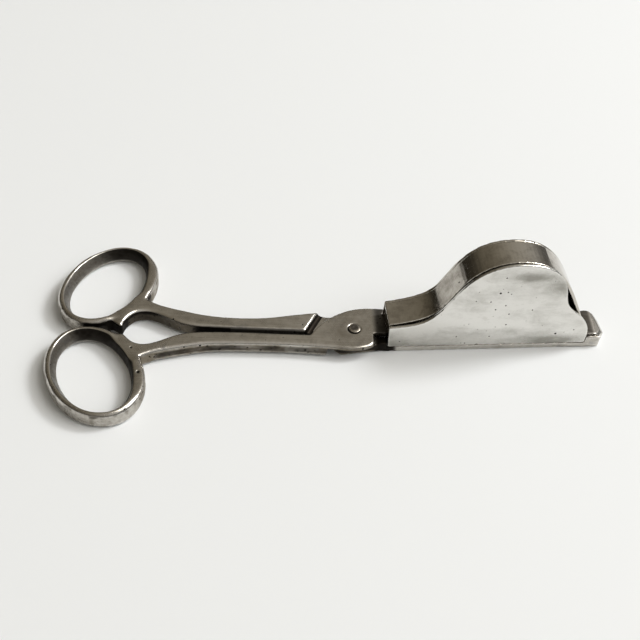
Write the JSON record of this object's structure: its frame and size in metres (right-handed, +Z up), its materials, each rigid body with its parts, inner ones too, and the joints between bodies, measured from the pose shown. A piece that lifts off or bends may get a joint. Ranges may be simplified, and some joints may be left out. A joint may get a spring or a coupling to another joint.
{
  "type": "wick trimmer",
  "caption": "Scissors-type steel candle wick trimmer with oval finger rings, a pivoted handle pair, a hump-backed snuff box and an upright closing plate.",
  "frame": {"origin": "middle of the whole object's bounding box, on the surface that it lies on", "axes": "+X from the finger rings to the nose, +Y from the open side of the snuff box to its back cheek, +Z up from the table"},
  "size_m": [0.1712, 0.0692, 0.0361],
  "materials": {
    "lever_steel": "forged steel, hand-polished and worn, with a warm grey-brown patina and fine pits",
    "rivet_steel": "dark peened rivet head",
    "box_steel": "bent sheet steel, polished, with brown patina and soft stains",
    "plate_steel": "bright hand-polished sheet steel with scratches, pits and grey smears"
  },
  "bodies": {
    "box_half": {"box_lever": "lever_steel", "pivot_rivet": "rivet_steel", "snuff_box_roof": "box_steel", "snuff_box_back": "box_steel", "snuff_box_end": "box_steel"},
    "press_half": {"press_lever": "lever_steel", "press_plate": "plate_steel"}
  },
  "joints": [
    {"name": "handle_pivot", "type": "hinge", "parent": "box_half", "child": "press_half", "pos_m": [0.00578, 0.002, 0], "axis": [0, 0, -1], "range_deg": [0, 48]}
  ]
}
